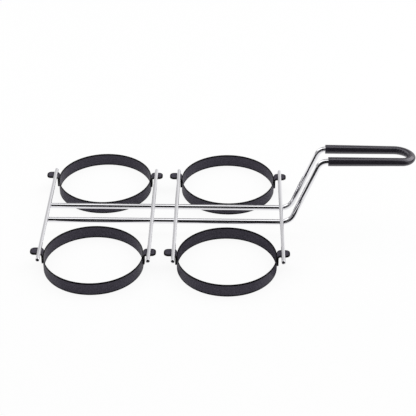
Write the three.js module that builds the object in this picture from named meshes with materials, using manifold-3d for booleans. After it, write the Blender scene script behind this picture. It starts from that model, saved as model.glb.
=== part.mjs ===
// Four-ring egg ring for a frying pan or griddle: four coated bands hang by welded lugs from a chromed wire
// frame, whose long wires bend up into a loop handle with a vinyl grip.
// Millimetres, +Z up. The bands stand on z = 0, and the handle points along +X.
import * as THREE from "three";
import { mergeVertices } from "three/addons/utils/BufferGeometryUtils.js";
import Module from "manifold-3d";

const wasm = await Module();
wasm.setup();

// Bands
const RING_DIAMETER = 90; // over the outside of the band
const RING_HEIGHT = 12.5;
const RING_STRIP = 0.8; // sheet thickness
const RING_EDGE = 0.15; // softened edges of the sheet
const RING_FACETS = 72; // a multiple of four, so that a facet faces each lug

// Lugs, each an L bent from flat strip
const LUG_WIDTH = 10;
const LUG_THICKNESS = 1.5;
const LUG_REACH = 11.5; // from the band to the tip of the plate
const LUG_TIP_RADIUS = 4; // corners of the plate's outer end
const LUG_BEND_RADIUS = 1.5; // inside of the bend
const LUG_RISE = 3; // from the rim of the band to the top of the plate
const LUG_FOOT_HEIGHT = 4.5; // lower end of the leg above the pan
const LUG_TIP_GAP = 7; // between the lugs of neighbouring bands

// Frame
const FRAME_WIRE_DIAMETER = 5;
const FRAME_WIRE_SPACING = 24; // between the axes of the two long runs
const FRAME_RING_GAP = 5.5; // from a long run to the bands beside it
const FRAME_WIRE_STUB = 0.5; // of a long run past the last cross wire
const CROSS_WIRE_DIAMETER = 3.5;
const CROSS_WIRE_OFFSET = 4; // from the band to the wire's axis
const CROSS_WIRE_SHIFT = 1.2; // of each pair of wires towards the handle
const CROSS_WIRE_FRONT_OVERHANG = 18; // past the centres of the front bands
const CROSS_WIRE_BACK_OVERHANG = 8; // past the centres of the back bands
const CROSS_WIRE_END_ROUND = 1.1; // edge of the wire's end faces
const CROSS_WIRE_SET = 0.2; // flattening of the cross wire at a weld
const FRAME_WIRE_SET = 0.6; // flattening of the long wire at a weld
const SEAT_MARGIN = 0.3; // of a weld flat past what lies on it

// Handle
const KNEE_OFFSET = 8; // from the last cross wire to the corner of the lower knee
const KNEE_SLOPE = 68.7; // degrees from level
const LOWER_KNEE_RADIUS = 12; // to the wire's axis
const UPPER_KNEE_RADIUS = 9;
const HANDLE_HEIGHT = 78.8; // axis of the grip above the pan
const HANDLE_RUN = 75; // from the corner of the upper knee to the corner of the tip's easy bend
const HANDLE_KNEE_SPACING = 22; // between the legs at the upper knees
const HANDLE_TIP_SPACING = 20.8; // between the legs at the corner of the easy bend
const EASY_BEND_RADIUS = 17.5; // where the back leg starts to turn
const EASY_BEND_TURN = 48; // degrees
const GRIP_WALL = 1.1;
const GRIP_CLEARANCE = 0.3; // between the sleeve and the wire

// Facets
const FRAME_WIRE_SIDES = 20;
const CROSS_WIRE_SIDES = 16;
const END_STEPS = 3; // round the edge of a cross wire's end
const KNEE_STEPS = 7;
const EASY_BEND_STEPS = 6;
const TIGHT_BEND_STEPS = 13;
const CORNER_STEPS = 6; // round a corner of a lug

const ringRadius = RING_DIAMETER / 2;
const frameRadius = FRAME_WIRE_DIAMETER / 2;
const crossRadius = CROSS_WIRE_DIAMETER / 2;
const gripRadius = frameRadius + GRIP_CLEARANCE + GRIP_WALL;
const ringPitchX = RING_DIAMETER + 2 * LUG_REACH + LUG_TIP_GAP;
const ringPitchY = RING_DIAMETER + FRAME_WIRE_SPACING + FRAME_WIRE_DIAMETER + 2 * FRAME_RING_GAP;

// Every weld of the frame lies on one level: the tops of the lugs and the flats of both kinds of wire.
const weldLevel = RING_HEIGHT + LUG_RISE;
const crossWireLevel = weldLevel + crossRadius - CROSS_WIRE_SET;
const frameWireLevel = weldLevel - frameRadius + FRAME_WIRE_SET;

const wireOffset = ringRadius + CROSS_WIRE_OFFSET;
const crossWires = [
  { name: "cross_wire_left_outer", x: -ringPitchX / 2 - wireOffset + CROSS_WIRE_SHIFT },
  { name: "cross_wire_left_inner", x: -ringPitchX / 2 + wireOffset + CROSS_WIRE_SHIFT },
  { name: "cross_wire_right_inner", x: ringPitchX / 2 - wireOffset + CROSS_WIRE_SHIFT },
  { name: "cross_wire_right_outer", x: ringPitchX / 2 + wireOffset + CROSS_WIRE_SHIFT },
];
const firstWireX = crossWires[0].x;
const lastWireX = crossWires[crossWires.length - 1].x;

const coated = new THREE.MeshStandardMaterial({ color: 0x3b393d, roughness: 0.55, metalness: 0.1 });
const chrome = new THREE.MeshStandardMaterial({ color: 0xd9dadd, roughness: 0.12, metalness: 1 });
const vinyl = new THREE.MeshStandardMaterial({ color: 0x1b1a1d, roughness: 0.3, metalness: 0 });

// Booleans: closed geometry to a solid and back
function solidOf(geometry) {
  const bare = geometry.clone();
  bare.deleteAttribute("normal");
  bare.deleteAttribute("uv");
  const merged = mergeVertices(bare);
  return new wasm.Manifold(
    new wasm.Mesh({
      numProp: 3,
      vertProperties: merged.getAttribute("position").array,
      triVerts: new Uint32Array(merged.index.array),
    }),
  );
}

function geometryOf(solid) {
  const mesh = solid.getMesh();
  const geometry = new THREE.BufferGeometry();
  geometry.setAttribute("position", new THREE.BufferAttribute(mesh.vertProperties, 3));
  geometry.setIndex(new THREE.BufferAttribute(mesh.triVerts, 1));
  const flat = geometry.toNonIndexed();
  flat.computeVertexNormals();
  return flat;
}

// A box given by its lowest and highest corners
function block(low, high) {
  const size = high.clone().sub(low);
  const middle = low.clone().add(high).multiplyScalar(0.5);
  return new THREE.BoxGeometry(size.x, size.y, size.z).translate(middle.x, middle.y, middle.z);
}

// One arc of a bent wire: a point turned about an axis through the centre of the bend
class BendArc extends THREE.Curve {
  constructor(start, centre, axis, angle) {
    super();
    this.centre = centre;
    this.axis = axis;
    this.angle = angle;
    this.spoke = start.clone().sub(centre);
  }

  getPoint(t) {
    return this.spoke.clone().applyAxisAngle(this.axis, this.angle * t).add(this.centre);
  }

  getTangent(t) {
    const spoke = this.spoke.clone().applyAxisAngle(this.axis, this.angle * t);
    return new THREE.Vector3().crossVectors(this.axis, spoke).normalize();
  }
}

// A wire made of straight runs and arcs. Its parameter counts stations, so a straight run takes one step and
// each arc takes as many as its bend needs.
class BentWire extends THREE.Curve {
  constructor(runs) {
    super();
    this.runs = runs;
    this.steps = runs.reduce((sum, run) => sum + run.steps, 0);
  }

  locate(t) {
    let station = t * this.steps;
    let index = 0;
    while (index < this.runs.length - 1 && station > this.runs[index].steps) {
      station -= this.runs[index].steps;
      index += 1;
    }
    const run = this.runs[index];
    return { curve: run.curve, t: Math.min(station / run.steps, 1) };
  }

  getPoint(t) {
    const place = this.locate(t);
    return place.curve.getPoint(place.t);
  }

  getTangent(t) {
    const place = this.locate(t);
    return place.curve.getTangent(place.t);
  }

  getPointAt(t) {
    return this.getPoint(t);
  }

  getTangentAt(t) {
    return this.getTangent(t);
  }
}

function straight(from, to) {
  return { curve: new THREE.LineCurve3(from, to), steps: 1 };
}

// The arc that rounds the corner of a wire between two other points
function knee(before, corner, after, radius, steps) {
  const inward = corner.clone().sub(before).normalize();
  const outward = after.clone().sub(corner).normalize();
  const angle = inward.angleTo(outward);
  const axis = inward.clone().cross(outward).normalize();
  const start = corner.clone().addScaledVector(inward, -radius * Math.tan(angle / 2));
  const centre = start.clone().addScaledVector(axis.clone().cross(inward), radius);
  const curve = new BendArc(start, centre, axis, angle);
  return { curve, steps, start, end: curve.getPoint(1) };
}

function mirrored(point) {
  return new THREE.Vector3(point.x, -point.y, point.z);
}

// The corners of the handle's back leg. Its front leg mirrors it in y = 0.
const lowerCorner = new THREE.Vector3(lastWireX + KNEE_OFFSET, FRAME_WIRE_SPACING / 2, frameWireLevel);
const kneeRise = HANDLE_HEIGHT - frameWireLevel;
const kneeRun = kneeRise / Math.tan(THREE.MathUtils.degToRad(KNEE_SLOPE));
const upperCorner = new THREE.Vector3(lowerCorner.x + kneeRun, HANDLE_KNEE_SPACING / 2, HANDLE_HEIGHT);
const tipCorner = new THREE.Vector3(upperCorner.x + HANDLE_RUN, HANDLE_TIP_SPACING / 2, HANDLE_HEIGHT);
const wireEnd = new THREE.Vector3(
  firstWireX - crossRadius - FRAME_WIRE_STUB,
  FRAME_WIRE_SPACING / 2,
  frameWireLevel,
);
const lowerKnee = knee(wireEnd, lowerCorner, upperCorner, LOWER_KNEE_RADIUS, KNEE_STEPS);
const upperKnee = knee(lowerCorner, upperCorner, tipCorner, UPPER_KNEE_RADIUS, KNEE_STEPS);

// The tip of the loop: an easy bend on the back leg leads into a tight one, which ends on the front leg.
const convergence = (upperCorner.y - tipCorner.y) / HANDLE_RUN;
const tipHeading = new THREE.Vector3(1, -convergence, 0)
  .normalize()
  .applyAxisAngle(new THREE.Vector3(0, 0, -1), THREE.MathUtils.degToRad(EASY_BEND_TURN));
const tipReach = (2 * tipCorner.y) / (convergence * tipHeading.x - tipHeading.y);
const farCorner = tipCorner.clone().addScaledVector(tipHeading, tipReach);
const easyBend = knee(upperCorner, tipCorner, farCorner, EASY_BEND_RADIUS, EASY_BEND_STEPS);
const tightTurn = tipHeading.angleTo(mirrored(upperCorner).sub(farCorner));
const tightRadius = easyBend.end.distanceTo(farCorner) / Math.tan(tightTurn / 2);
const tightBend = knee(tipCorner, farCorner, mirrored(upperCorner), tightRadius, TIGHT_BEND_STEPS);

// The loop from the end of one upper knee to the other, which the grip covers
const loopRuns = [
  straight(upperKnee.end, easyBend.start),
  easyBend,
  tightBend,
  straight(tightBend.end, mirrored(upperKnee.end)),
];

function frameWirePath() {
  const frontUpper = knee(
    farCorner,
    mirrored(upperCorner),
    mirrored(lowerCorner),
    UPPER_KNEE_RADIUS,
    KNEE_STEPS,
  );
  const frontLower = knee(
    mirrored(upperCorner),
    mirrored(lowerCorner),
    mirrored(wireEnd),
    LOWER_KNEE_RADIUS,
    KNEE_STEPS,
  );
  return new BentWire([
    straight(wireEnd, lowerKnee.start),
    lowerKnee,
    straight(lowerKnee.end, upperKnee.start),
    upperKnee,
    ...loopRuns,
    frontUpper,
    straight(frontUpper.end, frontLower.start),
    frontLower,
    straight(frontLower.end, mirrored(wireEnd)),
  ]);
}

function sweep(section, path) {
  return new THREE.ExtrudeGeometry(section, {
    steps: path.steps,
    curveSegments: FRAME_WIRE_SIDES / 2,
    extrudePath: path,
  });
}

function circle(PathClass, radius) {
  const path = new PathClass();
  path.absarc(0, 0, radius, 0, 2 * Math.PI, false);
  return path;
}

// The long wires with a flat under each cross wire
function frameWireGeometry() {
  let wire = solidOf(sweep(circle(THREE.Shape, frameRadius), frameWirePath()));
  for (const { x } of crossWires) {
    for (const side of [-1, 1]) {
      const y = (side * FRAME_WIRE_SPACING) / 2;
      const reach = crossRadius + SEAT_MARGIN;
      const low = new THREE.Vector3(x - reach, y - frameRadius, weldLevel);
      const high = new THREE.Vector3(x + reach, y + frameRadius, weldLevel + frameRadius);
      wire = wire.subtract(solidOf(block(low, high)));
    }
  }
  return geometryOf(wire);
}

function gripGeometry() {
  const section = circle(THREE.Shape, gripRadius);
  section.holes.push(circle(THREE.Path, frameRadius + GRIP_CLEARANCE));
  return sweep(section, new BentWire(loopRuns));
}

// A straight wire along Y with rounded ends and flats on its underside, its axis at the local origin
function crossWireGeometry() {
  const front = -ringPitchY / 2 - CROSS_WIRE_FRONT_OVERHANG;
  const back = ringPitchY / 2 + CROSS_WIRE_BACK_OVERHANG;
  const edge = [];
  for (let step = 0; step <= END_STEPS; step += 1) {
    const angle = (step / END_STEPS) * (Math.PI / 2);
    edge.push({
      out: crossRadius - CROSS_WIRE_END_ROUND * (1 - Math.sin(angle)),
      along: CROSS_WIRE_END_ROUND * (1 - Math.cos(angle)),
    });
  }
  const profile = [
    new THREE.Vector2(0, front),
    ...edge.map((point) => new THREE.Vector2(point.out, front + point.along)),
    ...edge.reverse().map((point) => new THREE.Vector2(point.out, back - point.along)),
    new THREE.Vector2(0, back),
  ];
  let wire = solidOf(new THREE.LatheGeometry(profile, CROSS_WIRE_SIDES));
  const flat = CROSS_WIRE_SET - crossRadius;
  const seats = [
    { y: ringPitchY / 2, reach: LUG_WIDTH / 2 + SEAT_MARGIN },
    { y: FRAME_WIRE_SPACING / 2, reach: frameRadius + SEAT_MARGIN },
  ];
  for (const { y, reach } of seats) {
    for (const side of [-1, 1]) {
      const low = new THREE.Vector3(-crossRadius, side * y - reach, -2 * crossRadius);
      const high = new THREE.Vector3(crossRadius, side * y + reach, flat);
      wire = wire.subtract(solidOf(block(low, high)));
    }
  }
  return geometryOf(wire);
}

// A band about Z with a facet square to X on each side, where the lugs are welded
function ringGeometry() {
  const inner = ringRadius - RING_STRIP;
  const profile = [
    new THREE.Vector2(inner + RING_EDGE, 0),
    new THREE.Vector2(ringRadius - RING_EDGE, 0),
    new THREE.Vector2(ringRadius, RING_EDGE),
    new THREE.Vector2(ringRadius, RING_HEIGHT - RING_EDGE),
    new THREE.Vector2(ringRadius - RING_EDGE, RING_HEIGHT),
    new THREE.Vector2(inner + RING_EDGE, RING_HEIGHT),
    new THREE.Vector2(inner, RING_HEIGHT - RING_EDGE),
    new THREE.Vector2(inner, RING_EDGE),
    new THREE.Vector2(inner + RING_EDGE, 0),
  ];
  const band = new THREE.LatheGeometry(profile, RING_FACETS, Math.PI / RING_FACETS);
  return band.rotateX(Math.PI / 2);
}

// An L of strip in the band's frame: the leg lies on the band's facet and the plate points along +X.
function lugGeometry() {
  const seat = ringRadius * Math.cos(Math.PI / RING_FACETS);
  const tip = ringRadius + LUG_REACH;
  const outerBend = LUG_BEND_RADIUS + LUG_THICKNESS;
  const bendX = seat + outerBend;
  const bendZ = weldLevel - outerBend;
  const side = new THREE.Shape();
  side.moveTo(seat, LUG_FOOT_HEIGHT);
  side.lineTo(seat + LUG_THICKNESS, LUG_FOOT_HEIGHT);
  side.absarc(bendX, bendZ, LUG_BEND_RADIUS, Math.PI, Math.PI / 2, true);
  side.lineTo(tip, weldLevel - LUG_THICKNESS);
  side.lineTo(tip, weldLevel);
  side.absarc(bendX, bendZ, outerBend, Math.PI / 2, Math.PI, false);
  side.closePath();
  const strip = new THREE.ExtrudeGeometry(side, {
    depth: LUG_WIDTH,
    curveSegments: CORNER_STEPS / 2,
    bevelEnabled: false,
  });
  strip.rotateX(Math.PI / 2).translate(0, LUG_WIDTH / 2, 0);

  const edge = LUG_WIDTH / 2;
  const corner = edge - LUG_TIP_RADIUS;
  const plan = new THREE.Shape();
  plan.moveTo(seat, -edge);
  plan.absarc(tip - LUG_TIP_RADIUS, -corner, LUG_TIP_RADIUS, -Math.PI / 2, 0, false);
  plan.absarc(tip - LUG_TIP_RADIUS, corner, LUG_TIP_RADIUS, 0, Math.PI / 2, false);
  plan.lineTo(seat, edge);
  plan.closePath();
  const outline = new THREE.ExtrudeGeometry(plan, {
    depth: weldLevel,
    curveSegments: CORNER_STEPS / 2,
    bevelEnabled: false,
  });
  return geometryOf(solidOf(strip).intersect(solidOf(outline)));
}

function addMesh(parent, name, geometry, material) {
  const mesh = new THREE.Mesh(geometry, material);
  mesh.name = name;
  parent.add(mesh);
  return mesh;
}

const assembly = new THREE.Group();
addMesh(assembly, "handle_frame_wire", frameWireGeometry(), chrome);
addMesh(assembly, "grip_sleeve", gripGeometry(), vinyl);

const crossWire = crossWireGeometry();
for (const { name, x } of crossWires) {
  addMesh(assembly, name, crossWire, chrome).position.set(x, 0, crossWireLevel);
}

// Each band with its two lugs. The outer lug is the one away from the middle of the frame.
const band = ringGeometry();
const lug = lugGeometry();
const columns = [
  { place: "left", side: -1 },
  { place: "right", side: 1 },
];
const rows = [
  { place: "front", side: -1 },
  { place: "back", side: 1 },
];
for (const row of rows) {
  for (const column of columns) {
    const place = `${row.place}_${column.place}`;
    const ring = new THREE.Group();
    ring.position.set((column.side * ringPitchX) / 2, (row.side * ringPitchY) / 2, 0);
    addMesh(ring, `ring_${place}`, band, coated);
    const outer = addMesh(ring, `lug_${place}_outer`, lug, coated);
    const inner = addMesh(ring, `lug_${place}_inner`, lug, coated);
    (column.side < 0 ? outer : inner).rotation.z = Math.PI;
    assembly.add(ring);
  }
}

// The origin is the middle of the object's box, on the pan.
const leftEnd = -ringPitchX / 2 - ringRadius - LUG_REACH;
const rightEnd = tightBend.curve.centre.x + tightRadius + gripRadius;
assembly.position.x = -(leftEnd + rightEnd) / 2;

const eggRing = new THREE.Group();
eggRing.add(assembly);

export default eggRing;
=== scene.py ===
# %% [markdown]
# # A four-ring egg ring
#
# Four coated steel bands hang by welded lugs from a chromed wire frame. The two long wires of that frame
# bend up into a loop handle, and a vinyl sleeve makes the grip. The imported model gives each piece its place
# and its size. This lesson makes a finer mesh for every piece, then the three finishes, the studio and the
# camera.

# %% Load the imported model
import math
from dataclasses import dataclass

import bmesh
import bpy
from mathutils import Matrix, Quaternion, Vector


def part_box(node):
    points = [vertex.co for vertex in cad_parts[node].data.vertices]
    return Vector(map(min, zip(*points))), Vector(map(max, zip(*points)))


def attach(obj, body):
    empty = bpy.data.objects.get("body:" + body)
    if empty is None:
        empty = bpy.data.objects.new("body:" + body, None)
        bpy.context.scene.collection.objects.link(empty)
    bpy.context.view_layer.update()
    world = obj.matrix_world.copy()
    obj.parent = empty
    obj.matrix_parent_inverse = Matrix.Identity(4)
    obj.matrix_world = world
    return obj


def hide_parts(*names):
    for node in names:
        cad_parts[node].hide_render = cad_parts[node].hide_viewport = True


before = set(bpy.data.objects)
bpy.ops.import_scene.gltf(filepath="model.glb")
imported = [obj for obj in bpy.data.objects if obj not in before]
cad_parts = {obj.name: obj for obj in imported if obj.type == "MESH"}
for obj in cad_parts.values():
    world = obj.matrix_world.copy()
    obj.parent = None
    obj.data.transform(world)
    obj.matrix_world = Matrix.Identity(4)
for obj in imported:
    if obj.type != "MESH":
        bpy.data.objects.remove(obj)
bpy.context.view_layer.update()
MM = 0.001
print("packed nodes:", len(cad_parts))

# %% [markdown]
# ## Where things are
#
# A node's box is enough to place a piece: the middle of a band's box is the band's centre. The middle of the
# four bands is a handy point for the camera too, so it is worked out here, once.


# %% Places from the frame
def middle(node):
    low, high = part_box(node)
    return (low + high) / 2


def nodes_named(start):
    return sorted(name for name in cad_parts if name.startswith(start))


BANDS = nodes_named("ring_")
LUGS = nodes_named("lug_")
CROSS_WIRES = nodes_named("cross_wire_")

grid_centre = sum((middle(name) for name in BANDS), Vector()) / len(BANDS)
grid_centre.z = 0
print("middle of the four bands:", [round(value / MM, 2) for value in grid_centre])

# %% [markdown]
# ## Building a mesh from loops
#
# Every piece here is a skin over a row of closed loops: a band is one outline turned about an axis, and a
# wire is one circle carried along a line. Blender's own cylinders and toruses would each need reshaping, so
# one function that joins loops with quads serves them all.


# %% Skin over loops
def skin(loops, ends):
    """Quads over a row of closed loops. The row's ends are "joined" to each other or "capped"."""
    size = len(loops[0])
    points = [point for loop in loops for point in loop]
    faces = []
    rows = len(loops) if ends == "joined" else len(loops) - 1
    for row in range(rows):
        here = row * size
        there = (row + 1) % len(loops) * size
        for step in range(size):
            after = (step + 1) % size
            faces.append((here + step, here + after, there + after, there + step))
    if ends == "capped":
        faces.append(tuple(range(size)))
        faces.append(tuple(range(len(points) - size, len(points))))
    return points, faces


# %% [markdown]
# ## From a skin to a piece
#
# A piece is one object that stands for one node of the imported model: it rides on the node's body, replaces
# the node and takes its finish from a material slot. BMesh joins the skins and turns all faces outwards.
#
# Each point of a coated piece also carries a number called `edge`, which is 1 on a cut edge of the sheet and
# 0 away from it. The coating is darkened by it. That is partly its thicker build-up there and partly painted
# shade: the dark rims and cut edges, and the contact shadow along a band's foot. It is stored on the mesh as
# an attribute, and the finish reads it back.


# %% Pieces
def make_piece(name, shapes, node, edges=None):
    """One object made of closed shapes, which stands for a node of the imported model."""
    builder = bmesh.new()
    for points, faces in shapes:
        corners = [builder.verts.new(point) for point in points]
        for face in faces:
            builder.faces.new([corners[index] for index in face])
    bmesh.ops.recalc_face_normals(builder, faces=builder.faces)
    for face in builder.faces:
        face.smooth = True
    mesh = bpy.data.meshes.new(name)
    builder.to_mesh(mesh)
    builder.free()
    # The edge numbers darken the coating: partly its thick edge, partly painted shade on rims and cut edges.
    if edges:
        attribute = mesh.attributes.new("edge", "FLOAT", "POINT")
        attribute.data.foreach_set("value", edges)
    piece = bpy.data.objects.new(name, mesh)
    bpy.context.scene.collection.objects.link(piece)
    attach(piece, "root")
    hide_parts(node)
    return piece


# %% [markdown]
# ## Rounded edges
#
# Sheet metal has no sharp corners: a tiny round on each edge catches the light. A bevel modifier could add
# it, but a rounded rectangle as the outline gives the same round and serves both the bands and the lugs.
#
# Each long side gets two shoulder points a little way in from each corner. Without them, smooth shading
# would spread the turn of the corner over the whole flat side and make it look swollen. They are also where
# the dark line along an edge starts to fade, and where it has gone. That line is partly the coating's thicker
# build-up and partly painted shade on the rims and cut edges.

# %% Rounded rectangle and edge mask
CORNER_STEPS = 5


def rounded_rectangle(half_width, half_height, radius, shoulders):
    """Points (x, y) round a rectangle, with shoulder points near each corner on the vertical sides."""
    points = []
    for quarter in range(4):
        across = 1 if quarter in (0, 3) else -1
        up = 1 if quarter in (0, 1) else -1
        corner = []
        for step in range(CORNER_STEPS + 1):
            angle = math.pi / 2 * (quarter + step / CORNER_STEPS)
            x = across * (half_width - radius) + radius * math.cos(angle)
            y = up * (half_height - radius) + radius * math.sin(angle)
            corner.append((x, y))
        beside = [(across * half_width, up * (half_height - shoulder)) for shoulder in shoulders]
        points += beside[::-1] + corner if quarter in (0, 2) else corner + beside
    return points


def smooth_step(low, high, value):
    share = min(max((value - low) / (high - low), 0), 1)
    return share * share * (3 - 2 * share)


# How strongly the painted shade along a cut edge, with the coating's thicker edge, darkens the coating.
def edge_shade(distance, shoulders):
    """1 from a cut edge to the first shoulder, falling to 0 at the second."""
    return 1 - smooth_step(*shoulders, distance)


# %% [markdown]
# ## The bands
#
# Each band is a strip of sheet steel rolled into a hoop and coated. A cylinder with a hole would give hard
# rims, so a rounded outline of the strip is turned about the band's axis instead, in steps small enough for
# a smooth silhouette.

# %% Bands
BAND_STRIP = 0.8 * MM
BAND_ROUND = 0.3 * MM
BAND_SHOULDERS = (1.0 * MM, 1.7 * MM)
BAND_STEPS = 180


def angles_round(count):
    """Evenly spaced angles round a full turn."""
    return [2 * math.pi * step / count for step in range(count)]


def band_radius(node):
    """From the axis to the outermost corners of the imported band's facets."""
    axis = middle(node)
    return max((point.co - axis).to_2d().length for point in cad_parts[node].data.vertices)


def band_piece(node):
    low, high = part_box(node)
    centre = middle(node)
    half_height = (high.z - low.z) / 2
    strip_radius = band_radius(node) - BAND_STRIP / 2
    outline = rounded_rectangle(BAND_STRIP / 2, half_height, BAND_ROUND, BAND_SHOULDERS)
    loops = []
    for angle in angles_round(BAND_STEPS):
        out = Vector((math.cos(angle), math.sin(angle), 0))
        loops.append([centre + out * (strip_radius + x) + Vector((0, 0, y)) for x, y in outline])
    # Edge numbers for the painted shade on both rims, and for the contact shadow at the foot.
    tones = [edge_shade(half_height - abs(y), BAND_SHOULDERS) for _, y in outline]
    return make_piece(node + "_hoop", [skin(loops, "joined")], node, tones * BAND_STEPS)


coated_pieces = [band_piece(node) for node in BANDS]
print("bands:", len(coated_pieces), "of radius", round(band_radius(BANDS[0]) / MM, 2), "mm")

# %% [markdown]
# ## The lugs
#
# A lug starts as a flat blank with one rounded end, and a press bends it into an L. A box could be bevelled
# and bent by modifiers, but the code makes the lug as the press does: sections of the blank, each as wide as
# the blank is there, are carried up the leg, round the bend and out along the plate. First comes the blank,
# measured by the distance along it from the foot of the leg.

# %% The flat blank of a lug
LUG_THICKNESS = 1.5 * MM
LUG_TIP_CORNER = 4 * MM
LUG_FOOT_CORNER = 0.8 * MM
LUG_ROUND = 0.3 * MM
LUG_STEPS = 9


def blank_stations(length, bend_start, bend_length):
    """Distances along the blank: close together at its ends and round the bend."""
    quarter = [math.pi / 2 * step / LUG_STEPS for step in range(LUG_STEPS + 1)]
    foot = [LUG_FOOT_CORNER * (1 - math.cos(angle)) for angle in quarter]
    bend = [bend_start + bend_length * step / LUG_STEPS for step in range(LUG_STEPS + 1)]
    tip = [length - LUG_TIP_CORNER * (1 - math.sin(angle)) for angle in quarter]
    return foot + bend + tip


def blank_half_width(along, length, half_width):
    """Half the blank's width: full between its rounded corners."""
    for corner, from_end in ((LUG_FOOT_CORNER, along), (LUG_TIP_CORNER, length - along)):
        if from_end < corner:
            return half_width - corner + math.sqrt(corner**2 - (corner - from_end) ** 2)
    return half_width


def blank_half_thickness(along, length):
    """Half the blank's thickness: full except on the rounded edges of its two ends."""
    from_end = min(along, length - along)
    inset = max(LUG_ROUND - from_end, 0)
    return LUG_THICKNESS / 2 - LUG_ROUND + math.sqrt(LUG_ROUND**2 - inset**2)


# %% [markdown]
# The blank is then bent. Its leg is curved to the band that it is welded to, and sits a hair inside the
# band's surface, so that no light shows between them. The curve fades out round the bend, and the plate is
# flat.

# %% Lugs
LUG_OUTER_BEND = 3 * MM
LUG_SINK = 0.02 * MM
LUG_SHOULDERS = (0.4 * MM, 2.0 * MM)
LUG_SHOULDER_SHARE = 0.6
LUG_CORNER_SHARE = 0.9


def lug_piece(node):
    low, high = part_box(node)
    ring = node.replace("lug", "ring").replace("_outer", "").replace("_inner", "")
    axis = middle(ring)
    side = 1 if middle(node).x > axis.x else -1
    radius = band_radius(ring) - LUG_SINK
    half_width = (high.y - low.y) / 2
    leg = high.z - LUG_OUTER_BEND - low.z
    bend = LUG_OUTER_BEND * math.pi / 2
    plate = max(abs(low.x - axis.x), abs(high.x - axis.x)) - radius - LUG_OUTER_BEND
    length = leg + bend + plate

    def bent(along, across, depth):
        """A point of the blank once it is bent."""
        turn = min(max((along - leg) / LUG_OUTER_BEND, 0), math.pi / 2)
        reach = LUG_OUTER_BEND - depth
        x = radius + LUG_OUTER_BEND - reach * math.cos(turn) + max(along - leg - bend, 0)
        z = low.z + min(along, leg) + reach * math.sin(turn)
        sag = radius - math.sqrt(radius**2 - across**2)
        x -= sag * math.cos(turn)
        return Vector((axis.x + side * x, axis.y + side * across, z))

    loops = []
    tones = []
    for along in blank_stations(length, leg, bend):
        width = blank_half_width(along, length, half_width)
        thickness = blank_half_thickness(along, length)
        corner = min(LUG_ROUND, LUG_CORNER_SHARE * thickness)
        far_shoulder = min(LUG_SHOULDERS[1], LUG_SHOULDER_SHARE * width)
        outline = rounded_rectangle(thickness, width, corner, (LUG_SHOULDERS[0], far_shoulder))
        loops.append([bent(along, y, LUG_THICKNESS / 2 + x) for x, y in outline])
        from_end = min(along, length - along)
        # Edge numbers for the painted shade along the lug's cut edges.
        tones += [edge_shade(min(width - abs(y), from_end), LUG_SHOULDERS) for _, y in outline]
    return make_piece(node + "_bent_strip", [skin(loops, "capped")], node, tones)


lug_pieces = [lug_piece(node) for node in LUGS]
coated_pieces += lug_pieces
print("lugs:", len(lug_pieces))

# %% [markdown]
# ## A line that can be walked
#
# Wires and the sleeve follow a line made of straight runs and bends. A bend is an arc that rounds a corner,
# just as a wire is bent round a former. A curve object with a bevel could draw it, but then the section
# couldn't change freely on the way. So the line is kept as points, with the distance to each.


# %% Routes and bends
class Route:
    """A line through points, which can be walked by distance from its start and a little past its ends."""

    def __init__(self, points):
        self.points = points
        self.marks = [0.0]
        for before, after in zip(points, points[1:]):
            self.marks.append(self.marks[-1] + (after - before).length)
        last = len(points) - 1
        self.headings = []
        for index in range(last + 1):
            behind = points[max(index - 1, 0)]
            ahead = points[min(index + 1, last)]
            self.headings.append((ahead - behind).normalized())

    def length(self):
        return self.marks[-1]

    def at(self, distance):
        """The point at a distance, and the heading there."""
        index = 0
        while index < len(self.marks) - 2 and distance > self.marks[index + 1]:
            index += 1
        span = self.marks[index + 1] - self.marks[index]
        share = (distance - self.marks[index]) / span
        point = self.points[index].lerp(self.points[index + 1], share)
        share = min(max(share, 0), 1)
        return point, self.headings[index].lerp(self.headings[index + 1], share).normalized()


def bend_points(before, corner, after, radius, steps):
    """Points of the arc that rounds a corner of a line."""
    inward = (corner - before).normalized()
    outward = (after - corner).normalized()
    turn = inward.angle(outward)
    axis = inward.cross(outward).normalized()
    start = corner - inward * radius * math.tan(turn / 2)
    centre = start + axis.cross(inward) * radius
    spoke = start - centre
    return [centre + Quaternion(axis, turn * step / steps) @ spoke for step in range(steps + 1)]


# %% [markdown]
# ## Carrying a circle along the line
#
# A sweep places a circle at each station of a line and turns it with the line, without twisting. At a cut
# end, a few circles shrink over the rounded edge. Smooth shading blends the directions of neighbouring
# faces, so a long straight run beside a bend or an end would reflect as if it were bowed. Two more stations,
# just inside the ends of the run, hold it straight.

# %% Sweeps
HOLD = 1.5 * MM
LONG_RUN = 3 * HOLD
END_STEPS = 8
END_INNER_SHARE = 0.85


def sweep(route, stations, sides):
    """Loops of a round section, one for each station.

    A station is a distance and a radius. The radius may be a function of the angle from the top.
    """
    loops = []
    top = Vector((0, 0, 1))
    for distance, radius in stations:
        point, heading = route.at(distance)
        top = (top - heading * top.dot(heading)).normalized()
        flank = heading.cross(top)
        loop = []
        for angle in angles_round(sides):
            size = radius(angle) if callable(radius) else radius
            loop.append(point + (top * math.cos(angle) + flank * math.sin(angle)) * size)
        loops.append(loop)
    return loops


def hold_straights(stations):
    """The stations, and two more just inside each long straight run."""
    held = [stations[0]]
    for before, after in zip(stations, stations[1:]):
        if after[0] - before[0] > LONG_RUN:
            held += [(before[0] + HOLD, before[1]), (after[0] - HOLD, after[1])]
        held.append(after)
    return held


def rounded_end(radius, rounding):
    """Stations from inside an end face, over its rounded edge to the full radius."""
    stations = [(0, (radius - rounding) * END_INNER_SHARE)]
    for step in range(END_STEPS + 1):
        angle = math.pi / 2 * step / END_STEPS
        stations.append((rounding * (1 - math.cos(angle)), radius - rounding * (1 - math.sin(angle))))
    return stations


def at_far_end(stations, length):
    """The stations of an end, placed at the other end of a line of some length."""
    return [(length - distance, radius) for distance, radius in reversed(stations)]


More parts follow.
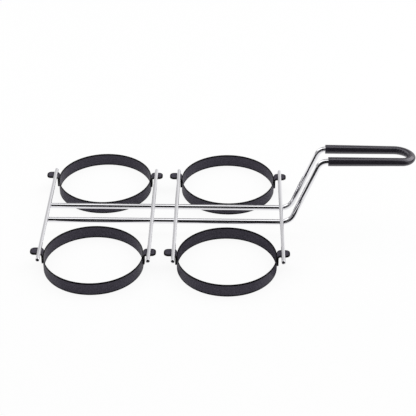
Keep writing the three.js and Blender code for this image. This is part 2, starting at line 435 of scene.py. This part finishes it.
# %% [markdown]
# ## Welds
#
# Crossing wires are resistance welded: they are pressed together while a current melts the touching spot,
# and a little metal squeezes out round it. That bead is a thin closed tube along the line where the two
# surfaces meet. It needs no boolean, because that line has a formula for two round wires, and for a wire on
# a flat plate it is a long oval.

# %% Weld beads
FRAME_WIRE_RADIUS = 2.5 * MM
CROSS_WIRE_RADIUS = 1.75 * MM
BEAD_RADIUS = 0.45 * MM
BEAD_STEPS = 40
BEAD_SIDES = 10
PLATE_BEAD_SHARE = 0.8


def bead(line):
    """A closed tube along a closed line."""
    loops = []
    count = len(line)
    for index, point in enumerate(line):
        heading = (line[(index + 1) % count] - line[index - 1]).normalized()
        flank = heading.cross(Vector((0, 0, 1))).normalized()
        top = flank.cross(heading)
        loop = []
        for angle in angles_round(BEAD_SIDES):
            loop.append(point + (top * math.cos(angle) + flank * math.sin(angle)) * BEAD_RADIUS)
        loops.append(loop)
    return skin(loops, "joined")


def wire_weld(cross_axis, run_axis):
    """The bead where a cross wire lies on a long wire, each given by a point on its axis."""
    reach = math.acos((cross_axis.z - run_axis.z - FRAME_WIRE_RADIUS) / CROSS_WIRE_RADIUS)
    line = []
    for angle in angles_round(BEAD_STEPS):
        lean = reach * math.cos(angle)
        x = CROSS_WIRE_RADIUS * math.sin(lean)
        z = cross_axis.z - CROSS_WIRE_RADIUS * math.cos(lean)
        half_chord = math.sqrt(max(FRAME_WIRE_RADIUS**2 - (z - run_axis.z) ** 2, 0))
        y = math.copysign(half_chord, math.sin(angle))
        line.append(Vector((cross_axis.x + x, run_axis.y + y, z)))
    return bead(line)


def plate_weld(cross_axis, plate_centre, plate_top, plate_half_width):
    """The bead where a cross wire lies on the plate of a lug."""
    half = math.sqrt(CROSS_WIRE_RADIUS**2 - (cross_axis.z - plate_top) ** 2)
    line = []
    for angle in angles_round(BEAD_STEPS):
        along = PLATE_BEAD_SHARE * plate_half_width * math.sin(angle)
        line.append(Vector((cross_axis.x + half * math.cos(angle), plate_centre.y + along, plate_top)))
    return bead(line)


# %% [markdown]
# ## The cross wires
#
# Four straight wires lie on the long wires and on the lugs. Each was cropped to length, a little on the
# slant, and then tumbled, which domed its ends so that they don't scratch. A cylinder would need its ends
# rebuilt, so the same sweep makes them. Its stations follow a quarter of an ellipse at each end, and a shear
# gives them their slant.

# %% Cross wires
WIRE_SIDES = 40
CROSS_WIRE_DOME = 0.9 * MM
DOME_STEPS = 10
CUT_SLOPE = 0.3

run_low, run_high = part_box("handle_frame_wire")
run_half_spacing = (run_high.y - run_low.y) / 2 - FRAME_WIRE_RADIUS
run_level = run_low.z + FRAME_WIRE_RADIUS


def cross_wire_axis(node):
    return Vector((middle(node).x, 0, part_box(node)[1].z - CROSS_WIRE_RADIUS))


def domed_end(radius, depth):
    """Stations from near the middle of a dome to the full radius."""
    angles = [math.pi / 2 * step / DOME_STEPS for step in range(1, DOME_STEPS + 1)]
    return [(depth * (1 - math.cos(angle)), radius * math.sin(angle)) for angle in angles]


def cross_wire_piece(node):
    low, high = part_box(node)
    axis = cross_wire_axis(node)
    route = Route([Vector((axis.x, low.y, axis.z)), Vector((axis.x, high.y, axis.z))])
    near = domed_end(CROSS_WIRE_RADIUS, CROSS_WIRE_DOME)
    far = at_far_end(near, route.length())
    loops = sweep(route, hold_straights(near + far), WIRE_SIDES)
    for inward, end_loops in ((1, loops[: len(near)]), (-1, loops[-len(far) :])):
        for point in sum(end_loops, []):
            point.y += inward * CUT_SLOPE * (point.z - axis.z + CROSS_WIRE_RADIUS)
    shapes = [skin(loops, "capped")]
    for side in (-1, 1):
        shapes.append(wire_weld(axis, Vector((axis.x, side * run_half_spacing, run_level))))
    for lug in LUGS:
        plate_low, plate_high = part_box(lug)
        if plate_low.x < axis.x < plate_high.x:
            half_width = (plate_high.y - plate_low.y) / 2
            shapes.append(plate_weld(axis, middle(lug), plate_high.z, half_width))
    return make_piece(node + "_rod", shapes, node)


chrome_pieces = [cross_wire_piece(node) for node in CROSS_WIRES]
print("cross wires:", len(chrome_pieces))

# %% [markdown]
# ## The frame wire
#
# One wire makes both long runs, the risers and the loop of the handle. Its corners are worked out from a few
# real sizes, and every bend rounds one corner. The tip of the loop isn't a half circle: the back leg starts
# to turn in an easy bend, and a tight one brings the wire round into the front leg.

# %% The corners of the frame wire
KNEE_OFFSET = 8 * MM
KNEE_SLOPE = math.radians(68.7)
HANDLE_RUN = 75 * MM
KNEE_HALF_SPACING = 11 * MM
TIP_HALF_SPACING = 10.4 * MM
EASY_BEND_TURN = math.radians(48)

handle_level = middle("grip_sleeve").z
last_wire_x = max(cross_wire_axis(node).x for node in CROSS_WIRES)
wire_end = Vector((run_low.x, run_half_spacing, run_level))
lower_corner = Vector((last_wire_x + KNEE_OFFSET, run_half_spacing, run_level))
knee_run = (handle_level - run_level) / math.tan(KNEE_SLOPE)
upper_corner = Vector((lower_corner.x + knee_run, KNEE_HALF_SPACING, handle_level))
tip_corner = Vector((upper_corner.x + HANDLE_RUN, TIP_HALF_SPACING, handle_level))

leg_heading = (tip_corner - upper_corner).normalized()
tip_heading = Quaternion((0, 0, -1), EASY_BEND_TURN) @ leg_heading
leg_lean = -leg_heading.y / leg_heading.x
tip_run = 2 * tip_corner.y / (leg_lean * tip_heading.x - tip_heading.y)
far_corner = tip_corner + tip_heading * tip_run
print("handle level:", round(handle_level / MM, 1), "mm, riser run", round(knee_run / MM, 1), "mm")

# %% The line of the frame wire
LOWER_KNEE_RADIUS = 12 * MM
UPPER_KNEE_RADIUS = 9 * MM
EASY_BEND_RADIUS = 17.5 * MM
BEND_STEPS = 28


def mirrored(point):
    return Vector((point.x, -point.y, point.z))


lower_knee = bend_points(wire_end, lower_corner, upper_corner, LOWER_KNEE_RADIUS, BEND_STEPS)
upper_knee = bend_points(lower_corner, upper_corner, tip_corner, UPPER_KNEE_RADIUS, BEND_STEPS)
easy_bend = bend_points(upper_corner, tip_corner, far_corner, EASY_BEND_RADIUS, BEND_STEPS)
tight_turn = tip_heading.angle(mirrored(upper_corner) - far_corner)
tight_radius = (far_corner - easy_bend[-1]).length / math.tan(tight_turn / 2)
tight_bend = bend_points(tip_corner, far_corner, mirrored(upper_corner), tight_radius, BEND_STEPS)

back_half = [wire_end] + lower_knee + upper_knee
front_half = [mirrored(point) for point in reversed(back_half)]
tip_points = easy_bend + tight_bend[1:]
wire_route = Route(back_half + tip_points + front_half)
loop_route = Route([upper_knee[-1]] + tip_points + [mirrored(upper_knee[-1])])
print("frame wire:", round(wire_route.length() / MM), "mm long")
print("tight bend:", round(tight_radius / MM, 1), "mm")

# %% Frame wire
WIRE_END_ROUND = 0.5 * MM


def frame_wire_piece():
    near = rounded_end(FRAME_WIRE_RADIUS, WIRE_END_ROUND)
    along = [(mark, FRAME_WIRE_RADIUS) for mark in wire_route.marks[1:-1]]
    far = at_far_end(near, wire_route.length())
    loops = sweep(wire_route, hold_straights(near + along + far), WIRE_SIDES)
    return make_piece("handle_frame_wire_bent", [skin(loops, "capped")], "handle_frame_wire")


chrome_pieces.append(frame_wire_piece())
print("chrome pieces:", len(chrome_pieces))

# %% [markdown]
# ## Puckers in the sleeve
#
# The grip is a soft vinyl tube, pushed over the wire before the handle was bent. Where it was squeezed, it
# puckered: on the inside of the tip, and slightly near its front end. A sculpting brush could draw these
# small waves by hand. A wave that fades out along the tube and round it does the same, and always gives the
# same result.

# %% Puckers
PUCKER_SWAY = 1.3
PUCKER_SWAY_RATE = 3


def bell(offset, reach):
    """1 in the middle, falling off smoothly on both sides."""
    return math.exp(-((offset / reach) ** 2))


def turn_between(angle, other):
    return math.remainder(angle - other, 2 * math.pi)


@dataclass
class Pucker:
    """Small waves in the sleeve, strongest at one distance along it and at one angle from its top."""

    distance: float
    reach: float
    angle: float
    spread: float
    wave: float
    height: float

    def at(self, distance, angle):
        turn = turn_between(angle, self.angle)
        sway = PUCKER_SWAY * math.sin(PUCKER_SWAY_RATE * turn / self.spread)
        phase = 2 * math.pi * distance / self.wave + sway
        share = bell(distance - self.distance, self.reach) * bell(turn, self.spread)
        return self.height * share * math.sin(phase)


loop_length = loop_route.length()
tip_start = loop_route.marks[1]
tip_end = loop_route.marks[-2]
apex_index = max(range(len(loop_route.points)), key=lambda index: loop_route.points[index].x)
apex = loop_route.marks[apex_index]

bend_start_pucker = Pucker(
    distance=tip_start + 7 * MM,
    reach=6 * MM,
    angle=math.radians(75),
    spread=0.65,
    wave=3.2 * MM,
    height=0.34 * MM,
)
apex_pucker = Pucker(
    distance=apex - 2 * MM,
    reach=4 * MM,
    angle=math.radians(70),
    spread=0.5,
    wave=2.4 * MM,
    height=0.3 * MM,
)
front_end_pucker = Pucker(
    distance=loop_length - 7 * MM,
    reach=5 * MM,
    angle=math.radians(-105),
    spread=0.7,
    wave=1.7 * MM,
    height=0.07 * MM,
)
puckers = [bend_start_pucker, apex_pucker, front_end_pucker]
print("puckers:", len(puckers), "on", round(loop_length / MM), "mm of tube")

# %% [markdown]
# ## The section of the sleeve
#
# The tube is a little fatter towards its open ends. Round the tip, the bend thinned and flattened it, and
# left a flat facet on its upper outside. All of these are real shapes, not bumps in a material: the radius
# of each section depends on the angle from its top.

# %% Sections of the sleeve
SLEEVE_BACK_START = -0.9 * MM
SLEEVE_FRONT_START = 0.6 * MM
SLEEVE_RADIUS = 3.8 * MM
SLEEVE_MOUTH_FLARE = 0.3 * MM
SLEEVE_MOUTH_LENGTH = 60 * MM
SLEEVE_TIP_THINNING = 0.08 * MM
THINNING_BEFORE_TIP = 25 * MM
THINNING_INTO_TIP = 6 * MM
SLEEVE_TIP_FLATTENING = 0.2 * MM
SLEEVE_TIP_REACH = 9 * MM
SLEEVE_FACET_DEPTH = 0.6 * MM
SLEEVE_FACET_REACH = 11 * MM
SLEEVE_FACET_SPREAD = 0.55
SLEEVE_FACET_ANGLE = math.radians(-32)
SLEEVE_FACET_SHIFT = 6 * MM

sleeve_start = SLEEVE_BACK_START
sleeve_end = loop_length - SLEEVE_FRONT_START


def sleeve_radius(distance):
    """The sleeve's outer radius at a distance, as a function of the angle from its top."""
    mouth = min(distance - sleeve_start, sleeve_end - distance)
    radius = SLEEVE_RADIUS
    radius += SLEEVE_MOUTH_FLARE * (1 - smooth_step(0, SLEEVE_MOUTH_LENGTH, mouth))
    thinning = smooth_step(tip_start - THINNING_BEFORE_TIP, tip_start + THINNING_INTO_TIP, distance)
    thinning *= 1 - smooth_step(tip_end - THINNING_INTO_TIP, tip_end + THINNING_BEFORE_TIP, distance)
    radius -= SLEEVE_TIP_THINNING * thinning
    flattening = SLEEVE_TIP_FLATTENING * bell(distance - apex, SLEEVE_TIP_REACH)
    facet = SLEEVE_FACET_DEPTH * bell(distance - apex - SLEEVE_FACET_SHIFT, SLEEVE_FACET_REACH)

    def at_angle(angle):
        shaped = radius - flattening * math.cos(2 * angle)
        shaped -= facet * bell(turn_between(angle, SLEEVE_FACET_ANGLE), SLEEVE_FACET_SPREAD)
        return shaped + sum(pucker.at(distance, angle) for pucker in puckers)

    return at_angle


print("radius on top of the apex:", round(sleeve_radius(apex)(0) / MM, 2), "mm")

# %% [markdown]
# ## The grip sleeve
#
# The outside of the tube runs along the loop from lip to lip, and its bore runs back inside. Both are rows
# of loops, so one skin closes the whole tube. Its square-cut ends then show a wall round the wire, which a
# solid rod would not.

# %% Grip sleeve
SLEEVE_SIDES = 56
SLEEVE_BORE = 2.53 * MM
SLEEVE_END_ROUND = 0.25 * MM
SLEEVE_PITCH = 0.55 * MM


def sleeve_piece():
    span = sleeve_end - sleeve_start
    count = round(span / SLEEVE_PITCH)
    body = [sleeve_start + span * step / count for step in range(1, count)]
    outside = [(distance, sleeve_radius(distance)) for distance in body]
    lip = rounded_end(SLEEVE_RADIUS + SLEEVE_MOUTH_FLARE, SLEEVE_END_ROUND)
    near = [(sleeve_start + distance, radius) for distance, radius in lip]
    far = at_far_end(lip, sleeve_end)
    bore_marks = [sleeve_start] + loop_route.marks[1:-1] + [sleeve_end]
    bore = [(distance, SLEEVE_BORE) for distance in reversed(bore_marks)]
    outer_loops = sweep(loop_route, near + outside + far, SLEEVE_SIDES)
    bore_loops = sweep(loop_route, bore, SLEEVE_SIDES)
    tube = skin(outer_loops + bore_loops, "joined")
    return make_piece("grip_sleeve_moulded", [tube], "grip_sleeve")


vinyl_pieces = [sleeve_piece()]
print("sleeve faces:", len(vinyl_pieces[0].data.polygons))

# %% [markdown]
# ## Placing shader nodes
#
# A material is a small graph. This helper adds one node, sets its options, and feeds each input either a
# plain number or colour, or the output of another node. That keeps every finish below short enough to read
# as a recipe.


# %% Node helpers
def place(tree, kind, feeds=None, **options):
    node = tree.nodes.new(kind)
    for name, value in options.items():
        setattr(node, name, value)
    for name, value in (feeds or {}).items():
        if isinstance(value, bpy.types.NodeSocket):
            tree.links.new(value, node.inputs[name])
        else:
            node.inputs[name].default_value = value
    return node


def new_group(name, inputs, outputs):
    """An empty shader node group with named numbers in and out, and its two end nodes."""
    group = bpy.data.node_groups.new(name, "ShaderNodeTree")
    for label, value in inputs.items():
        socket = group.interface.new_socket(name=label, in_out="INPUT", socket_type="NodeSocketFloat")
        socket.default_value = value
    for label in outputs:
        group.interface.new_socket(name=label, in_out="OUTPUT", socket_type="NodeSocketFloat")
    return group, group.nodes.new("NodeGroupInput"), group.nodes.new("NodeGroupOutput")


# %% [markdown]
# ## Effects that the finishes share
#
# No surface is perfectly even. `surface grain` is the fine relief of a sprayed, plated or moulded surface: a
# cloud noise with a finer one laid over it. `handling marks` are the broad, faint patches that wiping and
# fingers leave, which change how sharp a reflection is. An image could hold them, but noise has no seams.
# Both groups read the object's own coordinates, in metres, so their scale is real and they stay put when the
# camera moves.

# %% Surface grain
FINE_SCALE = 3.1
SPECKLE_FROM = 0.38
SPECKLE_TO = 0.66


def surface_grain_group():
    inputs = {"Scale": 1000.0, "Fine Share": 0.35}
    group, entry, leave = new_group("surface grain", inputs, ["Height", "Speckle"])
    spot = place(group, "ShaderNodeTexCoord").outputs["Object"]
    scale = entry.outputs["Scale"]
    broad = place(group, "ShaderNodeTexNoise", {"Vector": spot, "Scale": scale, "Detail": 2.0})
    finer = place(group, "ShaderNodeMath", {0: scale, 1: FINE_SCALE}, operation="MULTIPLY")
    fine = place(group, "ShaderNodeTexNoise", {"Vector": spot, "Scale": finer.outputs[0], "Detail": 1.0})
    layers = {"Factor": entry.outputs["Fine Share"], "A": broad.outputs[0], "B": fine.outputs[0]}
    height = place(group, "ShaderNodeMix", layers)
    spread = {"Value": fine.outputs[0], "From Min": SPECKLE_FROM, "From Max": SPECKLE_TO}
    speckle = place(group, "ShaderNodeMapRange", spread)
    group.links.new(height.outputs[0], leave.inputs["Height"])
    group.links.new(speckle.outputs[0], leave.inputs["Speckle"])
    return group


surface_grain = surface_grain_group()
print("group:", surface_grain.name)

# %% Handling marks
MARKS_FROM = 0.35
MARKS_TO = 0.68


def handling_marks_group():
    inputs = {"Scale": 60.0, "Low": 0.1, "High": 0.2}
    group, entry, leave = new_group("handling marks", inputs, ["Value"])
    spot = place(group, "ShaderNodeTexCoord").outputs["Object"]
    shape = {"Vector": spot, "Scale": entry.outputs["Scale"], "Detail": 3.0, "Distortion": 0.6}
    cloud = place(group, "ShaderNodeTexNoise", shape)
    spread = {"Value": cloud.outputs[0], "From Min": MARKS_FROM, "From Max": MARKS_TO}
    spread.update({"To Min": entry.outputs["Low"], "To Max": entry.outputs["High"]})
    marks = place(group, "ShaderNodeMapRange", spread)
    group.links.new(marks.outputs[0], leave.inputs["Value"])
    return group


handling_marks = handling_marks_group()
print("group:", handling_marks.name)


# %% [markdown]
# ## The finishes
#
# Each finish is one Principled shader. What is the same all over is set on its own sockets, and what changes
# over the surface comes from the groups: the tone, the roughness and the relief.


# %% Finish helpers
def new_finish(name, **constants):
    material = bpy.data.materials.new(name)
    material.use_nodes = True
    tree = material.node_tree
    shader = tree.nodes["Principled BSDF"]
    for socket, value in constants.items():
        shader.inputs[socket.replace("_", " ")].default_value = value
    return material, tree, shader


def use_group(tree, group, **values):
    node = place(tree, "ShaderNodeGroup", node_tree=group)
    for socket, value in values.items():
        node.inputs[socket.replace("_", " ")].default_value = value
    return node


def relief(tree, shader, height, strength, depth):
    bump = place(tree, "ShaderNodeBump", {"Height": height, "Strength": strength, "Distance": depth})
    tree.links.new(bump.outputs["Normal"], shader.inputs["Normal"])


def blend_colours(tree, share, first, second):
    ramp = place(tree, "ShaderNodeValToRGB", {"Fac": share})
    ramp.color_ramp.elements[0].color = (*first, 1)
    ramp.color_ramp.elements[1].color = (*second, 1)
    return ramp.outputs["Color"]


def finish_all(pieces, material):
    for piece in pieces:
        piece.data.materials.append(material)


# %% [markdown]
# ### Non-stick coating
#
# The bands and lugs are sprayed with a satin charcoal coating, slightly violet in tone. It has a fine orange
# peel and a faint speckle of its filler. Along the cut edges it is drawn nearly black. This is partly because
# it runs thick there, and partly painted shade for the dark rims and cut edges and for the contact shadow
# along a band's foot. The `edge` attribute of the meshes drives that, because a mask from height alone
# couldn't follow the outline of a lug.
# A Mix node has its sockets several times over, one set for each kind of value, so the colour ones are found
# by their place.

# %% Non-stick coating
COATING_TONES = ((0.047, 0.043, 0.057), (0.083, 0.0757, 0.1))
# Nearly black: painted shade on the rims and cut edges, laid over the coating's thicker edge.
COATING_EDGE_SHADE = (0.003, 0.003, 0.003)
MIX_FIRST_COLOUR = 6
MIX_SECOND_COLOUR = 7
MIX_COLOUR_RESULT = 2


def coating_finish():
    material, tree, shader = new_finish("nonstick_coating", IOR=1.15)
    grain = use_group(tree, surface_grain, Scale=420.0, Fine_Share=0.5)
    marks = use_group(tree, handling_marks, Scale=45.0, Low=0.42, High=0.56)
    tone = blend_colours(tree, grain.outputs["Speckle"], *COATING_TONES)
    # The edge mask mixes in the painted shade along rims and cut edges.
    edge = place(tree, "ShaderNodeAttribute", attribute_name="edge")
    mix = place(tree, "ShaderNodeMix", {"Factor": edge.outputs["Fac"]}, data_type="RGBA")
    tree.links.new(tone, mix.inputs[MIX_FIRST_COLOUR])
    mix.inputs[MIX_SECOND_COLOUR].default_value = (*COATING_EDGE_SHADE, 1)
    tree.links.new(mix.outputs[MIX_COLOUR_RESULT], shader.inputs["Base Color"])
    tree.links.new(marks.outputs["Value"], shader.inputs["Roughness"])
    relief(tree, shader, grain.outputs["Height"], strength=0.5, depth=0.05 * MM)
    return material


finish_all(coated_pieces, coating_finish())
print("coated pieces:", len(coated_pieces))

# %% [markdown]
# ### Chrome plate
#
# Bright chrome shows its surroundings, so its own detail is faint: wiping marks that soften the reflection
# here and there, and a slight ripple left by drawing and plating the wire.

# %% Chrome plate
CHROME_COLOUR = (0.8, 0.795, 0.82, 1)


def chrome_finish():
    material, tree, shader = new_finish("chrome_plate", Base_Color=CHROME_COLOUR, Metallic=1.0)
    ripple = use_group(tree, surface_grain, Scale=220.0, Fine_Share=0.25)
    marks = use_group(tree, handling_marks, Scale=70.0, Low=0.03, High=0.07)
    tree.links.new(marks.outputs["Value"], shader.inputs["Roughness"])
    relief(tree, shader, ripple.outputs["Height"], strength=0.06, depth=0.1 * MM)
    return material


finish_all(chrome_pieces, chrome_finish())
print("chrome pieces:", len(chrome_pieces))

# %% [markdown]
# ### Grip vinyl
#
# Dipped or extruded vinyl is black with a soft gloss. Skin and pan fat leave it duller in patches, and its
# surface has a fine, shallow grain.

# %% Grip vinyl
VINYL_TONES = ((0.0145, 0.0128, 0.0182), (0.026, 0.023, 0.032))
VINYL_SHEEN = (0.96, 0.93, 1.0, 1)


def vinyl_finish():
    material, tree, shader = new_finish("grip_vinyl", IOR=1.68, Specular_Tint=VINYL_SHEEN)
    grain = use_group(tree, surface_grain, Scale=1400.0, Fine_Share=0.3)
    marks = use_group(tree, handling_marks, Scale=90.0, Low=0.2, High=0.3)
    tone = blend_colours(tree, grain.outputs["Speckle"], *VINYL_TONES)
    tree.links.new(tone, shader.inputs["Base Color"])
    tree.links.new(marks.outputs["Value"], shader.inputs["Roughness"])
    relief(tree, shader, grain.outputs["Height"], strength=0.15, depth=0.04 * MM)
    return material


finish_all(vinyl_pieces, vinyl_finish())
print("vinyl pieces:", len(vinyl_pieces))

# %% [markdown]
# ## The room
#
# A product like this is photographed in a white room under soft light. More light would wash the object out,
# so the room has two levels, which the Light Path node tells apart: a plain one that lights the object, and
# a nearly white one where the camera or a reflection sees it. What is seen is darker to the left and a little
# darker overhead, so that the chrome shows a change of tone.


# %% White where it is seen
def seen_share(tree):
    """1 for rays from the camera, from a reflection or through glass, and 0 for the rest."""
    path = place(tree, "ShaderNodeLightPath")
    share = path.outputs["Is Camera Ray"]
    for kind in ("Is Glossy Ray", "Is Transmission Ray"):
        both = {0: share, 1: path.outputs[kind]}
        share = place(tree, "ShaderNodeMath", both, operation="ADD", use_clamp=True).outputs[0]
    return share


ROOM_LIGHT = 0.55
ROOM_SEEN = 0.84
ROOM_TILT = (0.38, 0.0, -0.16)
WHITE = (1, 1, 1, 1)

world = bpy.data.worlds.new("studio_room")
world.use_nodes = True
bpy.context.scene.world = world
room = world.node_tree
way = place(room, "ShaderNodeTexCoord").outputs["Generated"]
tilt = place(room, "ShaderNodeVectorMath", {0: way, 1: ROOM_TILT}, operation="DOT_PRODUCT")
tilted = {0: tilt.outputs["Value"], 1: ROOM_SEEN}
seen = place(room, "ShaderNodeMath", tilted, operation="ADD", use_clamp=True)
levels = {"Value": seen_share(room), "To Min": ROOM_LIGHT, "To Max": seen.outputs[0]}
room_level = place(room, "ShaderNodeMapRange", levels)
room.nodes["Background"].inputs["Color"].default_value = WHITE
room.links.new(room_level.outputs[0], room.nodes["Background"].inputs["Strength"])
print("room light on the object:", ROOM_LIGHT)

# %% [markdown]
# ## The table
#
# The table is one large sheet. A plain diffuse white would come out grey in this light, so its shader is
# mixed with a glow that only the camera and reflections see. The share that is left keeps the object's
# shadow.

# %% Table
TABLE_HALF = 3.0
TABLE_COLOUR = (0.94, 0.94, 0.94, 1)
TABLE_GLOW_SHARE = 0.9


def stage_sheet(name, profile, left, right, material):
    """A sheet from left to right along X, folded along the points (y, z) of its profile."""
    corners = [(x, y, z) for y, z in profile for x in (left, right)]
    faces = [(row, row + 1, row + 3, row + 2) for row in range(0, len(corners) - 2, 2)]
    mesh = bpy.data.meshes.new(name)
    mesh.from_pydata(corners, [], faces)
    sheet = bpy.data.objects.new(name, mesh)
    sheet.data.materials.append(material)
    bpy.context.scene.collection.objects.link(sheet)
    return sheet


def table_finish():
    material, tree, shader = new_finish("table_white", Base_Color=TABLE_COLOUR, Roughness=0.9)
    glow = place(tree, "ShaderNodeEmission", {"Color": WHITE, "Strength": 1.0})
    share = place(tree, "ShaderNodeMath", {0: seen_share(tree), 1: TABLE_GLOW_SHARE}, operation="MULTIPLY")
    mix = place(tree, "ShaderNodeMixShader", {0: share.outputs[0]})
    tree.links.new(shader.outputs[0], mix.inputs[1])
    tree.links.new(glow.outputs[0], mix.inputs[2])
    tree.links.new(mix.outputs[0], tree.nodes["Material Output"].inputs["Surface"])
    return material


table_line = [(-TABLE_HALF, 0), (TABLE_HALF, 0)]
table = stage_sheet("studio_table", table_line, -TABLE_HALF, TABLE_HALF, table_finish())
print("stage:", table.name)

# %% [markdown]
# ## Cards for the chrome
#
# Chrome in an all-white room would vanish, so photographers set black and grey cards round a product: each
# draws a dark line along the wires that reflect it. Here a large black card lies in front of the bands,
# stands up on the camera's side and leans over at the top. Strips along its near edge, and a patch inside
# and beside the front right band, steer the lines on the wires' ends and on the risers. A grey ceiling tones
# the tops of the wires, and low cards at the back and the sides serve the other viewpoints.
#
# All cards are seen by reflections alone, so they take no light away and cast no shadow.

# %% Cards in front and overhead
CARD_GREY = (0.45, 0.45, 0.46, 1)
CARD_BLACK = (0.012, 0.012, 0.013, 1)
CARD_LIFT = 0.2 * MM
CARD_REACH = 1.2
CARD_SPLIT = 0.06
GREY_NEAR = 0.1
BLACK_NEAR = 0.13
BLACK_NEAR_LEFT = 0.104
BLACK_FOLD = 0.95
BLACK_HEIGHT = 2.4
BLACK_EDGE = 0.25
PATCH_LEFT = -0.045
PATCH_RIGHT = 0.085
PATCH_NEAR = 0.03
PATCH_FAR = 0.08
CEILING_HEIGHT = 1.6
CEILING_NEAR = 0.55
CEILING_FAR = 1.9

grey_finish = new_finish("card_grey", Base_Color=CARD_GREY, Roughness=1.0)[0]
black_finish = new_finish("card_black", Base_Color=CARD_BLACK, Roughness=1.0)[0]
black_line = [(-BLACK_NEAR, CARD_LIFT), (-BLACK_FOLD, CARD_LIFT)]
black_line += [(-BLACK_FOLD, BLACK_HEIGHT), (-BLACK_EDGE, BLACK_HEIGHT)]
strip_line = [(-BLACK_NEAR_LEFT, CARD_LIFT), (-BLACK_NEAR, CARD_LIFT)]
grey_line = [(-GREY_NEAR, CARD_LIFT), (-BLACK_NEAR, CARD_LIFT)]
patch_line = [(-PATCH_NEAR, CARD_LIFT), (-PATCH_FAR, CARD_LIFT)]
ceiling_line = [(CEILING_NEAR, CEILING_HEIGHT), (CEILING_FAR, CEILING_HEIGHT)]
cards = [
    stage_sheet("black_card", black_line, -CARD_REACH, CARD_REACH, black_finish),
    stage_sheet("black_strip", strip_line, -CARD_REACH, CARD_SPLIT, black_finish),
    stage_sheet("grey_strip", grey_line, CARD_SPLIT, CARD_REACH, grey_finish),
    stage_sheet("black_patch", patch_line, PATCH_LEFT, PATCH_RIGHT, black_finish),
    stage_sheet("grey_ceiling", ceiling_line, -CARD_REACH, CARD_REACH, grey_finish),
]
print("cards in front and overhead:", len(cards))

# %% Low cards round the object
LOW_CARD_AWAY = 1.2
LOW_CARD_HEIGHT = 0.46
LOW_CARD_HALF = 0.25

low_line = [(LOW_CARD_AWAY, 0), (LOW_CARD_AWAY, LOW_CARD_HEIGHT)]
low_cards = (("back", 0, black_finish), ("left", 90, grey_finish), ("right", -90, black_finish))
for side, turn, finish in low_cards:
    card = stage_sheet(side + "_low_card", low_line, -LOW_CARD_HALF, LOW_CARD_HALF, finish)
    card.rotation_euler.z = math.radians(turn)
    cards.append(card)
for card in cards:
    card.visible_camera = False
    card.visible_diffuse = False
    card.visible_shadow = False
    card.visible_transmission = False
print("all cards:", len(cards))

# %% [markdown]
# ## Soft lights
#
# Three large area lamps give the broad sheen on the coating and the grip, and a soft shadow: one behind the
# object on each side, and one overhead. Small lamps would draw hard dots on the chrome.


# %% Lamps
def softbox(name, place_at, aim, size, power):
    lamp = bpy.data.lights.new(name, "AREA")
    lamp.shape = "RECTANGLE"
    lamp.size, lamp.size_y = size
    lamp.energy = power
    holder = bpy.data.objects.new(name, lamp)
    holder.location = place_at
    holder.rotation_euler = (Vector(aim) - Vector(place_at)).to_track_quat("-Z", "Y").to_euler()
    bpy.context.scene.collection.objects.link(holder)


softbox("right_softbox", place_at=(0.95, 0.42, 0.95), aim=(0.16, 0, 0.08), size=(0.9, 0.9), power=5.8)
softbox("left_softbox", place_at=(-0.88, 0.48, 0.92), aim=(-0.1, 0, 0), size=(0.9, 0.9), power=3.6)
softbox("overhead_softbox", place_at=(0.05, 0.12, 1.35), aim=(0.05, 0.12, 0), size=(1.5, 0.75), power=3.9)
print("lamps:", len(bpy.data.lights))

# %% [markdown]
# ## The camera
#
# The photograph's camera was found from the rims of the four bands: their ellipses give the angle, the
# distance and the lens. Azimuth turns about the vertical from straight in front, and elevation is the angle
# above the table.

# %% Camera
IMAGE_SIDE = 416
FOCAL_PIXELS = 1334.075
SENSOR_WIDTH = 36
VIEW_AZIMUTH = 0.01895
VIEW_ELEVATION = 0.57865
VIEW_DISTANCE = 1282.487 * MM
VIEW_TARGET = grid_centre + Vector((41.262 * MM, 31.268 * MM, 0))

camera = bpy.data.objects.new("camera", bpy.data.cameras.new("camera"))
camera.data.sensor_width = SENSOR_WIDTH
camera.data.lens = FOCAL_PIXELS / IMAGE_SIDE * SENSOR_WIDTH
towards_camera = Vector(
    (
        math.sin(VIEW_AZIMUTH) * math.cos(VIEW_ELEVATION),
        -math.cos(VIEW_AZIMUTH) * math.cos(VIEW_ELEVATION),
        math.sin(VIEW_ELEVATION),
    )
)
camera.location = VIEW_TARGET + towards_camera * VIEW_DISTANCE
camera.rotation_euler = (-towards_camera).to_track_quat("-Z", "Y").to_euler()
bpy.context.scene.collection.objects.link(camera)
bpy.context.scene.camera = camera
bpy.context.scene.view_settings.view_transform = "Standard"
print("lens:", round(camera.data.lens, 2), "mm")
